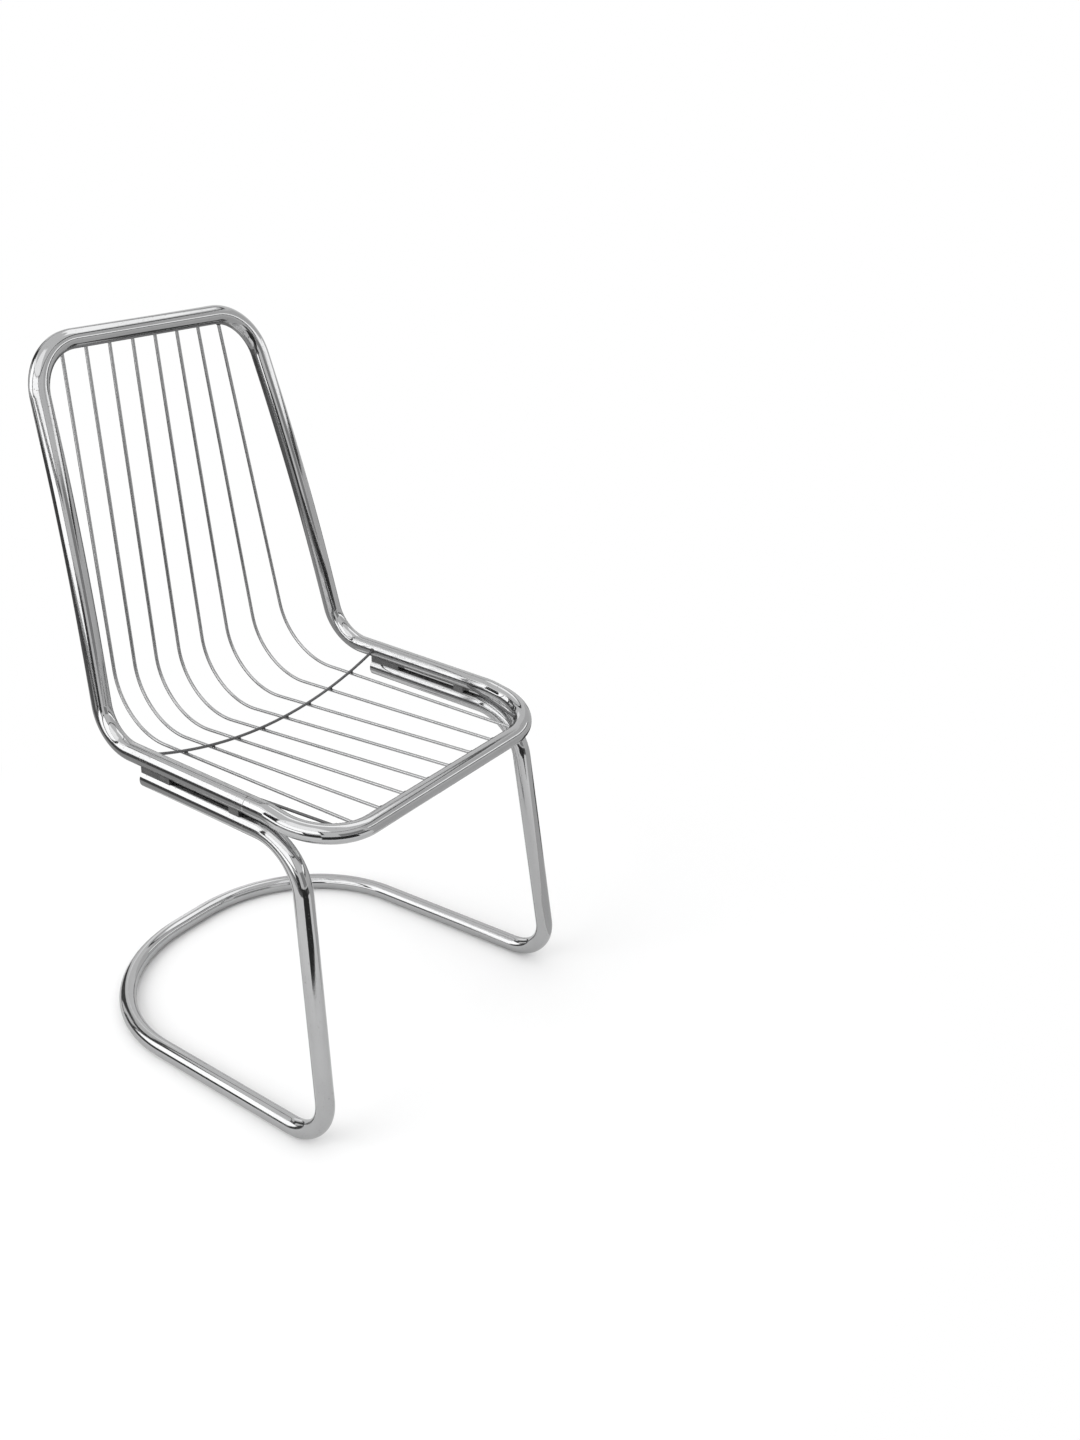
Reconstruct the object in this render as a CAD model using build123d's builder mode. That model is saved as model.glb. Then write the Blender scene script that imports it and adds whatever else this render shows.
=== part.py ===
"""Cantilever chair of bent chromed tube with a sling of steel wires, built as separate pieces.

The chair stands on the floor at z = 0 and faces -Y.  The origin is on the floor under the middle of
its outline.  Right and left are those of a person sitting in it, so the right side is at -X.
"""
import os
from math import cos, hypot, radians, sin, sqrt, tan

from build123d import *

os.makedirs("parts", exist_ok=True)

# Stock: one tube for the seat frame and the base, wire for the sling, thin wire across it
tube_diameter = 22.0
tube_wall = 1.5
wire_diameter = 4.0
thin_wire_diameter = 3.5

# Fits
weld_gap = 0.1
sliding_gap = 0.1
hole_gap = 0.3
thread_gap = 0.05

# Side rails of the seat
seat_half_width = 193.0
seat_tilt = 2.6
rear_corner_y = 96.0
rear_corner_height = 419.5
rear_corner_radius = 52.0
seam_y = -131.0

# Front of the seat, bent down from the side rails
knee_y = -157.0
knee_radius = 60.0
front_rail_y = -241.5
front_drop = 17.0
front_corner_radius = 67.0

# Back frame, narrower at the top and bowed forward at half its height
top_half_width = 155.0
top_rail_y = 179.0
top_rail_height = 845.0
top_corner_radius = 60.0
back_bow = 10.0
back_bow_share = 0.6

# Base: one tube from under one rail, down the leg, round the floor and back up
run_end_y = 33.0
leg_top_y = -200.5
leg_top_radius = 65.0
foot_half_width = 219.0
foot_y = -233.0
foot_radius = 55.0
loop_half_width = 210.0
loop_back_y = 241.5
loop_radius = 190.0

# Sling of long wires
wire_count = 8
wire_seat_pitch = 40.0
wire_top_pitch = 32.0
wire_bend_radius = 82.0
wire_top_setback = 6.0
wire_front_rise = 3.0
wire_corner_y_middle = 166.0
wire_corner_y_side = 137.0

# Cross wire of thin wire laid over the long wires, hung between the side rails
cross_wire_y = 28.0
cross_wire_end_rise = 5.0
cross_wire_sag = 35.0

# Short stays of thin wire across the inside of the front corners
stay_start_y = -133.0
stay_start_rise = 1.4
stay_end_inset = 34.0
stay_end_y = -226.0
stay_end_rise = 6.0

# Saddle pads between the side rails and the base
pad_thickness = 3.0
pad_width = 14.0
pad_height = 10.0
rear_pad_length = 46.0
front_pad_length = 15.0
front_pad_y = -113.0

# Spigots inside the frame's two seams
spigot_length = 50.0
spigot_wall = 2.5
spigot_behind_seam = 30.0

# Screws with their heads inside the base tube, saddle washers, and threaded bushes in the rails
screw_diameter = 6.0
screw_head_diameter = 10.5
screw_head_height = 3.3
screw_head_round = 1.8
screw_socket_across_flats = 4.0
screw_socket_depth = 2.0
washer_diameter = 11.0
washer_edge = 1.2
access_gap = 0.5
bush_diameter = 9.0
bush_height = 7.4
bush_recess = 0.1
screw_end_gap = 0.5

# Plugs pushed into the base tube's open ends
plug_length = 12.0
plug_recess = 0.5
plug_round = 1.0

tube_radius = tube_diameter / 2
bore_radius = tube_radius - tube_wall
wire_radius = wire_diameter / 2
thin_wire_radius = thin_wire_diameter / 2
rail_spacing = tube_diameter + pad_thickness
sides = ((-1, "right"), (1, "left"))


def rail_height(y):
    """Height of a side rail's axis at a place along it."""
    return rear_corner_height - (rear_corner_y - y) * tan(radians(seat_tilt))


def rail_plane(side, y):
    """Plane across the fixings of a side rail: its Y along the rail, its Z square to it."""
    tilt = radians(seat_tilt)
    return Plane(
        origin=(side * seat_half_width, y, rail_height(y)),
        x_dir=(1, 0, 0),
        z_dir=(0, -sin(tilt), cos(tilt)),
    )


def run_point(y):
    """Point on the axis of the base's right upper run, square below a place along the rail."""
    return tuple(rail_plane(-1, y).offset(-rail_spacing).origin)


def rounded_path(points, radii):
    """Path of straight lines and tangent arcs."""
    with BuildLine() as path:
        FilletPolyline(*points, radius=radii)
    return path.line


def swept_rod(path, radius):
    """Solid round rod along a path."""
    with BuildPart() as rod:
        with BuildSketch(Plane(origin=path @ 0, z_dir=path % 0)):
            Circle(radius)
        sweep(path=path)
    return rod.part


def swept_tube(path):
    """Tube of the chair's stock along a path."""
    with BuildPart() as tube:
        with BuildSketch(Plane(origin=path @ 0, z_dir=path % 0)):
            Circle(tube_radius)
            Circle(bore_radius, mode=Mode.SUBTRACT)
        sweep(path=path)
    return tube.part


def mirrored(points):
    """The right half of a path followed by its mirror image on the left."""
    return points + [(-x, y, z) for x, y, z in reversed(points)]


def hand_in(piece, name):
    """Name a finished piece and write its file."""
    piece.label = name
    export_step(piece, f"parts/{name}.step")


# Paths of the tubes, right half first
front_rail_height = rail_height(knee_y) - front_drop
bow_middle_y = (rear_corner_y + top_rail_y) / 2
bow_middle_height = (rear_corner_height + top_rail_height) / 2
back_run = top_rail_y - rear_corner_y
back_rise = top_rail_height - rear_corner_height
back_length = hypot(back_run, back_rise)
back_bow_radius = back_bow_share * (back_length / 2) ** 2 / back_bow
bow_point = (
    -(seat_half_width + top_half_width) / 2,
    bow_middle_y - back_bow * back_rise / back_length,
    bow_middle_height + back_bow * back_run / back_length,
)
rear_loop_path = rounded_path(
    mirrored(
        [
            (-seat_half_width, seam_y, rail_height(seam_y)),
            (-seat_half_width, rear_corner_y, rear_corner_height),
            bow_point,
            (-top_half_width, top_rail_y, top_rail_height),
        ]
    ),
    [
        rear_corner_radius,
        back_bow_radius,
        top_corner_radius,
        top_corner_radius,
        back_bow_radius,
        rear_corner_radius,
    ],
)
front_loop_path = rounded_path(
    mirrored(
        [
            (-seat_half_width, seam_y, rail_height(seam_y)),
            (-seat_half_width, knee_y, rail_height(knee_y)),
            (-seat_half_width, front_rail_y, front_rail_height),
        ]
    ),
    [knee_radius, front_corner_radius, front_corner_radius, knee_radius],
)
base_path = rounded_path(
    mirrored(
        [
            run_point(run_end_y),
            run_point(leg_top_y),
            (-foot_half_width, foot_y, tube_radius),
            (-loop_half_width, loop_back_y, tube_radius),
        ]
    ),
    [leg_top_radius, foot_radius, loop_radius, loop_radius, foot_radius, leg_top_radius],
)

# Room the frame takes up, for the ends of the wires that meet it
rear_loop_room = swept_rod(rear_loop_path, tube_radius + weld_gap)
front_loop_room = swept_rod(front_loop_path, tube_radius + weld_gap)

# Fixings: one screw through the middle of each pad
rear_pad_y = run_end_y - rear_pad_length / 2 * cos(radians(seat_tilt))
rear_fixings = [rail_plane(side, rear_pad_y) for side, name in sides]
front_fixings = [rail_plane(side, front_pad_y) for side, name in sides]
fixings = rear_fixings + front_fixings
bush_hole_radius = bush_diameter / 2 + thread_gap
bush_foot = sqrt(tube_radius**2 - (bush_diameter / 2) ** 2) - bush_recess
screw_hole_radius = screw_diameter / 2 + hole_gap
access_hole_radius = max(screw_head_diameter, washer_diameter) / 2 + access_gap

# Rear loop: seat rails, back rails and top rail in one bent tube
with BuildPart() as rear_loop:
    add(swept_tube(rear_loop_path))
    for fixing in fixings:
        with BuildSketch(fixing):
            Circle(bush_hole_radius)
        extrude(amount=-tube_diameter, mode=Mode.SUBTRACT)
hand_in(rear_loop.part, "rear_loop")

# Front loop: bent down from the seat rails and round the front of the seat
with BuildPart() as front_loop:
    add(swept_tube(front_loop_path))
hand_in(front_loop.part, "front_loop")

# Spigots joining the two loops, locked by the front bushes
spigot_radius = bore_radius - sliding_gap
for side, name in sides:
    with BuildPart() as spigot:
        seam = rail_plane(side, seam_y)
        along = Plane(origin=seam.origin, x_dir=(1, 0, 0), z_dir=seam.y_dir)
        with BuildSketch(along.offset(spigot_behind_seam - spigot_length)):
            Circle(spigot_radius)
            Circle(spigot_radius - spigot_wall, mode=Mode.SUBTRACT)
        extrude(amount=spigot_length)
        with BuildSketch(rail_plane(side, front_pad_y)):
            Circle(bush_hole_radius)
        extrude(amount=-tube_diameter, mode=Mode.SUBTRACT)
    hand_in(spigot.part, f"spigot_{name}")

# Base tube, drilled for the four screws, with wider holes below to put them in through
with BuildPart() as base_tube:
    add(swept_tube(base_path))
    for fixing in fixings:
        with BuildSketch(fixing):
            Circle(screw_hole_radius)
        extrude(amount=-rail_spacing, mode=Mode.SUBTRACT)
        with BuildSketch(fixing.offset(-rail_spacing)):
            Circle(access_hole_radius)
        extrude(amount=-tube_diameter, mode=Mode.SUBTRACT)
hand_in(base_tube.part, "base_tube")

# Cross wire: a shallow arc from rail to rail
cross_end_height = rail_height(cross_wire_y) + cross_wire_end_rise
cross_middle_height = cross_end_height - cross_wire_sag
cross_radius = (seat_half_width**2 + cross_wire_sag**2) / (2 * cross_wire_sag)
with BuildLine() as cross_line:
    ThreePointArc(
        (-seat_half_width, cross_wire_y, cross_end_height),
        (0, cross_wire_y, cross_middle_height),
        (seat_half_width, cross_wire_y, cross_end_height),
    )
with BuildPart() as cross_wire:
    add(swept_rod(cross_line.line, thin_wire_radius))
    add(rear_loop_room, mode=Mode.SUBTRACT)
hand_in(cross_wire.part, "cross_wire")

# Long wires: under the cross wire, from the top rail down and forward to the front rail
crossing_radius = cross_radius + thin_wire_radius + wire_radius + weld_gap
wire_front_height = front_rail_height + wire_front_rise
for index in range(wire_count):
    place = index - (wire_count - 1) / 2
    across = place * wire_seat_pitch
    dish = (2 * place / (wire_count - 1)) ** 2
    crossing_height = cross_middle_height + cross_radius - sqrt(crossing_radius**2 - across**2)
    seat_slope = (crossing_height - wire_front_height) / (cross_wire_y - front_rail_y)
    corner_y = wire_corner_y_middle + dish * (wire_corner_y_side - wire_corner_y_middle)
    wire_path = rounded_path(
        [
            (place * wire_top_pitch, top_rail_y + wire_top_setback, top_rail_height),
            (across, corner_y, wire_front_height + seat_slope * (corner_y - front_rail_y)),
            (across, front_rail_y, wire_front_height),
        ],
        [wire_bend_radius],
    )
    with BuildPart() as long_wire:
        add(swept_rod(wire_path, wire_radius))
        add(rear_loop_room, mode=Mode.SUBTRACT)
        add(front_loop_room, mode=Mode.SUBTRACT)
    hand_in(long_wire.part, f"wire_{index + 1}")

# Short stays: from the side rail at the seam to the inside of the front corner
stay_reach = tube_radius + thin_wire_radius + weld_gap
stay_start_x = seat_half_width - sqrt(stay_reach**2 - stay_start_rise**2)
for side, name in sides:
    with BuildLine() as stay_line:
        Line(
            (side * stay_start_x, stay_start_y, rail_height(stay_start_y) + stay_start_rise),
            (side * (seat_half_width - stay_end_inset), stay_end_y, front_rail_height + stay_end_rise),
        )
    with BuildPart() as stay:
        add(swept_rod(stay_line.line, thin_wire_radius))
        add(front_loop_room, mode=Mode.SUBTRACT)
    hand_in(stay.part, f"stay_{name}")

# Saddle pads, hollowed to both tubes
saddle_radius = tube_radius + weld_gap
pad_kinds = (("rear", rear_pad_y, rear_pad_length), ("front", front_pad_y, front_pad_length))
for kind, pad_y, pad_length in pad_kinds:
    for side, name in sides:
        fixing = rail_plane(side, pad_y)
        across_pad = Plane(origin=fixing.origin, x_dir=(1, 0, 0), z_dir=fixing.y_dir)
        with BuildPart() as pad:
            with BuildSketch(across_pad):
                with Locations((0, rail_spacing / 2)):
                    Rectangle(pad_width, pad_height)
                with Locations((0, 0), (0, rail_spacing)):
                    Circle(saddle_radius, mode=Mode.SUBTRACT)
            extrude(amount=pad_length / 2, both=True)
            with BuildSketch(fixing):
                Circle(screw_hole_radius)
            extrude(amount=-rail_spacing, mode=Mode.SUBTRACT)
        hand_in(pad.part, f"{kind}_pad_{name}")

# Threaded bushes standing in the rails' lower walls
with BuildPart() as bushes:
    for fixing in fixings:
        with BuildSketch(fixing.offset(-bush_foot)):
            Circle(bush_diameter / 2)
            Circle(screw_diameter / 2 + thread_gap, mode=Mode.SUBTRACT)
        extrude(amount=bush_height)
hand_in(bushes.part, "bushes")

# Saddle washers inside the base tube, rounded to its upper wall
washer_round = bore_radius - weld_gap
washer_rise = sqrt(washer_round**2 - (washer_diameter / 2) ** 2) - washer_edge
washer_foot = rail_spacing - washer_rise
with BuildPart() as washers:
    for fixing in fixings:
        with BuildSketch(fixing.offset(-washer_foot)):
            Circle(washer_diameter / 2)
            Circle(screw_hole_radius, mode=Mode.SUBTRACT)
        extrude(amount=bore_radius - washer_rise)
        with BuildSketch(Plane(origin=fixing.origin, x_dir=(1, 0, 0), z_dir=fixing.y_dir)):
            with Locations((0, rail_spacing)):
                Circle(tube_radius)
                Circle(washer_round, mode=Mode.SUBTRACT)
        extrude(amount=washer_diameter, both=True, mode=Mode.SUBTRACT)
hand_in(washers.part, "washers")

# Screws with round heads and hexagon sockets
head_foot = washer_foot + screw_head_height
screw_top = bush_foot - bush_height + screw_end_gap
with BuildPart() as screws:
    for fixing in fixings:
        with BuildSketch(Plane(origin=fixing.origin, x_dir=fixing.x_dir, z_dir=-fixing.y_dir)):
            with BuildLine():
                FilletPolyline(
                    (0, -head_foot),
                    (screw_head_diameter / 2, -head_foot),
                    (screw_head_diameter / 2, -washer_foot),
                    (screw_diameter / 2, -washer_foot),
                    (screw_diameter / 2, -screw_top),
                    (0, -screw_top),
                    radius=[0, screw_head_round, 0, 0, 0, 0],
                    close=True,
                )
            make_face()
        revolve(axis=Axis(fixing.origin, fixing.z_dir))
        with BuildSketch(fixing.offset(-head_foot)):
            RegularPolygon(screw_socket_across_flats / 2, 6, major_radius=False)
        extrude(amount=screw_socket_depth, mode=Mode.SUBTRACT)
hand_in(screws.part, "screws")

# Plugs in the rear ends of the base tube
with BuildPart() as end_plugs:
    for side, name in sides:
        end = rail_plane(side, run_end_y).offset(-rail_spacing)
        with BuildSketch(end):
            with BuildLine():
                FilletPolyline(
                    (0, -plug_recess - plug_length),
                    (bore_radius - sliding_gap, -plug_recess - plug_length),
                    (bore_radius - sliding_gap, -plug_recess),
                    (0, -plug_recess),
                    radius=[0, plug_round, plug_round, 0],
                    close=True,
                )
            make_face()
        revolve(axis=Axis(end.origin, end.y_dir))
hand_in(end_plugs.part, "end_plugs")
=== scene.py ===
"""Looks of a cantilever chair of chromed tube and wire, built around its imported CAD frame."""
from math import asin, cos, hypot, radians, sin, sqrt, tan

import bmesh
import bpy
from bpy.props import FloatProperty, FloatVectorProperty, IntProperty, PointerProperty
from mathutils import Matrix, Vector


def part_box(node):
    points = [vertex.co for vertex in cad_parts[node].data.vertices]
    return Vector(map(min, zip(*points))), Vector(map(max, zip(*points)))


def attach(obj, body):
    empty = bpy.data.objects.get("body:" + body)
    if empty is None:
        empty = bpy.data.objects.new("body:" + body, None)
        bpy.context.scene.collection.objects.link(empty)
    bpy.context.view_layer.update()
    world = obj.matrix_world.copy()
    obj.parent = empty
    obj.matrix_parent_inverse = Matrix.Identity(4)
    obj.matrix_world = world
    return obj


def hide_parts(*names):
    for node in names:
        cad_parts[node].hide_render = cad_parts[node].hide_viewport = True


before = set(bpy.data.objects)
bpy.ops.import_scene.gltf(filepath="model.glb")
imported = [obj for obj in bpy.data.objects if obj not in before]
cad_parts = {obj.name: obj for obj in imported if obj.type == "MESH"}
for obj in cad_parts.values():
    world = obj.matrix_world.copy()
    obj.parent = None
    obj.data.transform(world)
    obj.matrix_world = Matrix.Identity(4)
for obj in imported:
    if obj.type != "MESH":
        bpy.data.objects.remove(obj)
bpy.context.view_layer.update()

bl_info = {
    "name": "Wire Sling Chair",
    "version": (1, 0, 0),
    "blender": (4, 5, 0),
    "location": "3D View > Sidebar > Chair",
    "description": "Builds the looks of a cantilever chair of chromed tube and wire",
    "category": "Object",
}

body = "root"
photo_width_pixels = 1080
sensor_width_mm = 36.0
pure_white = (1, 1, 1, 1)

# How far a piece may lie off its CAD node: wires end square here, and follow the tubes there
tube_slack = 0.0006
long_wire_slack = 0.006
thin_wire_slack = 0.003

# Fineness of the meshes: a merge in metres, the rest in degrees
merge_distance = 1e-6
crease_angle = 40
card_step = 4


# Properties

def distance(name, description, default):
    """A length in metres."""
    return FloatProperty(
        name=name, description=description, default=default, precision=4, subtype="DISTANCE", unit="LENGTH"
    )


def angle(name, description, default):
    """An angle, given in degrees."""
    return FloatProperty(
        name=name,
        description=description,
        default=radians(default),
        precision=4,
        subtype="ANGLE",
        unit="ROTATION",
    )


def share(name, description, default):
    """A number from none to all."""
    return FloatProperty(name=name, description=description, default=default, min=0, max=1, subtype="FACTOR")


def count(name, description, default, least=0):
    """A whole number."""
    return IntProperty(name=name, description=description, default=default, min=least)


def colour(name, description, default):
    """A linear colour."""
    return FloatVectorProperty(
        name=name, description=description, default=default, size=3, min=0, max=1, subtype="COLOR"
    )


def position(name, description, default):
    """A point in the chair's frame."""
    return FloatVectorProperty(
        name=name, description=description, default=default, size=3, subtype="TRANSLATION", unit="LENGTH"
    )


class ChairTubeSizes(bpy.types.PropertyGroup):
    """Sizes of the bent tubes of the seat frame and the base."""

    tube_diameter: distance("Tube Diameter", "Outside diameter of all three tubes", 0.022)
    seat_half_width: distance("Seat Half Width", "From the middle to a side rail's axis", 0.193)
    seat_tilt: angle("Seat Tilt", "Fall of the side rails towards the front", 2.6)
    rear_corner_y: distance("Rear Corner", "Where a side rail's axis meets the back", 0.096)
    rear_corner_height: distance("Rear Corner Height", "Height of a side rail's axis there", 0.4195)
    rear_corner_bend: distance("Rear Corner Bend", "Bend radius between rail and back", 0.052)
    seam_y: distance("Seam", "Where the two loops of the frame meet", -0.131)
    knee_y: distance("Knee", "Where the rails bend down to the front", -0.157)
    knee_bend: distance("Knee Bend", "Bend radius at the knee", 0.060)
    front_rail_y: distance("Front Rail", "Axis of the front rail", -0.2415)
    front_drop: distance("Front Drop", "Fall from the knee to the front rail", 0.017)
    front_corner_bend: distance("Front Corner Bend", "Bend radius at the front corners", 0.067)
    top_half_width: distance("Top Half Width", "From the middle to a back rail's upper end", 0.155)
    top_rail_y: distance("Top Rail", "Axis of the top rail", 0.179)
    top_rail_height: distance("Top Rail Height", "Height of the top rail's axis", 0.845)
    top_corner_bend: distance("Top Corner Bend", "Bend radius at the top corners", 0.060)
    back_bow: distance("Back Bow", "Forward bow of the back rails at half height", 0.010)
    back_bow_share: share("Back Bow Share", "Share of the back rails that is bowed", 0.6)
    rail_spacing: distance("Rail Spacing", "From a side rail's axis to the base tube under it", 0.025)
    run_end_y: distance("Run End", "Where the base tube ends under a rail", 0.033)
    rear_screw_inset: distance("Rear Screw Inset", "From there to the rear screw, along the tube", 0.023)
    front_screw_y: distance("Front Screw", "Where the front screw goes up into the rail", -0.113)
    access_hole_diameter: distance("Access Hole", "Hole below each screw's head", 0.012)
    access_hole_rise: distance("Access Hole Rise", "From the base tube's axis up to the washers", 0.0064)
    bore_diameter: distance("Bore Diameter", "Inside diameter of the base tube's open ends", 0.019)
    # These place painted shade: a dark band under each side rail where it runs over the base tube, in the gap
    # between the two tubes.
    rail_shade_top: distance("Shadow Top", "From a rail's axis down to where dirt begins under it", 0.0030)
    rail_shade_edge: distance("Shadow Edge", "Softness of the dirt's upper edge", 0.0018)
    rail_shade_fade: distance("Shadow Fade", "Softness of the dirt's ends", 0.012)
    rail_shade_front: distance("Shadow Front", "Where the dirt under the rails ends in front", -0.146)
    rail_shade_back: distance("Shadow Back", "Where the dirt under the rails ends behind", 0.046)
    plug_depth: distance("Plug Depth", "From an open end in to the end of its plug", 0.0125)
    leg_top_y: distance("Leg Top", "Where the base tube turns down", -0.2005)
    leg_top_bend: distance("Leg Top Bend", "Bend radius at the leg's top", 0.065)
    foot_half_width: distance("Foot Half Width", "From the middle to a foot's axis", 0.219)
    foot_y: distance("Foot", "Where the base tube turns along the floor", -0.233)
    foot_bend: distance("Foot Bend", "Bend radius at the foot", 0.055)
    loop_half_width: distance("Loop Half Width", "From the middle to the floor loop's corner", 0.210)
    loop_back_y: distance("Loop Back", "Axis of the floor loop's back", 0.2415)
    loop_bend: distance("Loop Bend", "Bend radius of the floor loop", 0.190)
    seam_chamfer: distance("Seam Chamfer", "Edge broken off each tube end", 0.0005)
    hole_margin: share("Hole Margin", "From a hole's middle to the tube's next ring, in hole diameters", 0.7)
    sides: count("Sides", "Faces around a tube", 64, 12)
    bend_steps: count("Bend Steps", "Points in each bend", 32, 4)


class ChairWireSizes(bpy.types.PropertyGroup):
    """Sizes of the sling's wires and the corner stays."""

    wire_diameter: distance("Wire Diameter", "Diameter of the long wires", 0.004)
    thin_wire_diameter: distance("Thin Wire Diameter", "Diameter of the cross wire and the stays", 0.0035)
    wire_count: count("Wire Count", "Long wires in the sling", 8, 2)
    seat_pitch: distance("Seat Pitch", "Spacing of the long wires on the seat", 0.040)
    top_pitch: distance("Top Pitch", "Spacing of the long wires at the top rail", 0.032)
    wire_bend: distance("Wire Bend", "Bend radius between back and seat", 0.082)
    top_setback: distance("Top Setback", "From the top rail's axis back to the wires", 0.006)
    front_rise: distance("Front Rise", "From the front rail's axis up to the wires", 0.003)
    corner_y_middle: distance("Middle Corner", "Where the middle wires' runs would meet", 0.166)
    corner_y_side: distance("Side Corner", "Where the side wires' runs would meet", 0.137)
    cross_y: distance("Cross Wire", "Where the cross wire lies", 0.028)
    cross_end_rise: distance("Cross Wire Rise", "From the rails' axes up to its ends", 0.005)
    cross_sag: distance("Cross Wire Sag", "Fall from its ends to its middle", 0.035)
    stay_start_y: distance("Stay Start", "Where a stay leaves its side rail", -0.133)
    stay_start_rise: distance("Stay Start Rise", "From the rail's axis up to it", 0.0014)
    stay_end_inset: distance("Stay End Inset", "From the rail's axis in to its front end", 0.034)
    stay_end_y: distance("Stay End", "Where a stay meets the front corner", -0.226)
    stay_end_rise: distance("Stay End Rise", "From the front rail's axis up to it", 0.006)
    touch_gap: distance("Touch Gap", "Clearance between pieces that are welded", 0.0001)
    weld_bite: distance("Weld Bite", "How far a wire's end is sunk in a tube's wall", 0.0012)
    cross_arc_share: share("Cross Wire Arc", "Bend radius as a share of the arc's own", 0.9999)
    sides: count("Sides", "Faces around a wire", 24, 8)
    bend_steps: count("Bend Steps", "Points in each bend", 28, 4)


class ChairWeldSizes(bpy.types.PropertyGroup):
    """Sizes of the weld beads."""

    end_bead_width: distance("End Bead Width", "Bead where a wire meets a tube", 0.0072)
    end_bead_height: distance("End Bead Height", "How thick that bead is", 0.0036)
    crossing_bead_width: distance("Crossing Bead Width", "Bead where two wires cross", 0.0046)
    crossing_bead_height: distance("Crossing Bead Height", "How thick that bead is", 0.0040)
    unevenness: distance("Unevenness", "How far a bead's skin wanders", 0.0005)
    segments: count("Segments", "Faces around a bead", 16, 6)
    rings: count("Rings", "Faces from a bead's bottom to its top", 10, 4)
    seed: count("Seed", "Picks the beads' shapes", 7)


class ChairFinishes(bpy.types.PropertyGroup):
    """Colours and gloss of the finishes."""

    tube_chrome: colour("Tube Chrome", "Polished plate on the tubes", (0.53, 0.532, 0.536))
    wire_chrome: colour("Wire Chrome", "Duller plate on the wires", (0.50, 0.502, 0.506))
    dark_wire: colour("Dark Wire", "Cross wire and stays", (0.16, 0.16, 0.163))
    weld_chrome: colour("Weld Chrome", "Plate over the beads", (0.11, 0.11, 0.112))
    rust: colour("Rust", "Pits through the plate", (0.085, 0.062, 0.050))
    # This colour is soiling on the welds, pads and fixings, and also the painted shade under the side rails.
    grime_and_shade: colour("Grime", "Dirt left beside the fittings", (0.045, 0.043, 0.042))
    bare_steel: colour("Bare Steel", "Spigots and bushes inside the tubes", (0.36, 0.355, 0.35))
    zinc: colour("Zinc", "Plate on screws and washers", (0.50, 0.505, 0.52))
    plug: colour("Plug", "Moulded plastic", (0.018, 0.018, 0.019))
    tube_roughness: share("Tube Roughness", "Clean plate on the tubes", 0.025)
    wire_roughness: share("Wire Roughness", "Clean plate on the wires", 0.13)
    dark_wire_roughness: share("Dark Wire Roughness", "Cross wire and stays", 0.30)


class ChairStageSettings(bpy.types.PropertyGroup):
    """Floor, light and camera."""

    floor: colour("Floor", "Pale floor", (0.95, 0.95, 0.95))
    mirrored_floor: colour("Mirrored Floor", "Floor as the chrome shows it", (0.74, 0.74, 0.74))
    floor_half_side: distance("Floor Half Side", "Half the side of the square floor", 9.0)
    floor_gap: distance("Floor Gap", "From the chair down to the floor", 0.0002)
    floor_fade_start: distance("Fade Start", "Where the floor begins to turn plain white", 0.40)
    floor_fade_end: distance("Fade End", "Where the floor is plain white", 0.90)
    lamp_side: distance("Lamp Side", "Side of the square lamp", 1.9)
    lamp_power: FloatProperty(name="Lamp Power", description="Output of the lamp", default=22.0, unit="POWER")
    lamp_place: position("Lamp", "Middle of the lamp", (-2.1, 0.55, 1.5))
    lamp_target: position("Lamp Target", "What the lamp faces", (0, 0, 0.4))
    eye: position("Eye", "Place of the camera", (-1.0073, -1.0684, 1.0884))
    yaw: angle("Yaw", "Turn of the camera from +Y", -55.244)
    pitch: angle("Pitch", "Tilt of the camera from level", -25.712)
    roll: angle("Roll", "Turn of the picture", 0.12)
    focal_pixels: FloatProperty(
        name="Focal Length", description="In pixels of the photograph", default=1308.5, min=100
    )


# Node trees

class Link:
    """An output socket with arithmetic: each operator adds a Math node."""

    def __init__(self, graph, socket):
        self.graph = graph
        self.socket = socket

    def out(self, name):
        """Another output of the same node."""
        return Link(self.graph, named_socket(self.socket.node.outputs, name))

    def math(self, operation, *others):
        """Add a Math node."""
        return self.graph.node("ShaderNodeMath", dict(enumerate((self, *others))), operation=operation)

    def clamped(self):
        """The same value, held between 0 and 1."""
        return self.graph.node("ShaderNodeClamp", {"Value": self})

    def __add__(self, other):
        return self.math("ADD", other)

    __radd__ = __add__

    def __mul__(self, other):
        return self.math("MULTIPLY", other)

    __rmul__ = __mul__

    def __sub__(self, other):
        return self.math("SUBTRACT", other)

    def __rsub__(self, other):
        return (self * -1.0).math("ADD", other)

    def __truediv__(self, other):
        return self.math("DIVIDE", other)


def named_socket(sockets, name):
    """A socket by place, or the first one in use with that name or identifier."""
    if isinstance(name, int):
        return sockets[name]
    for socket in sockets:
        if socket.enabled and name in (socket.name, socket.identifier):
            return socket
    raise RuntimeError(f"no socket {name}")


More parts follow.
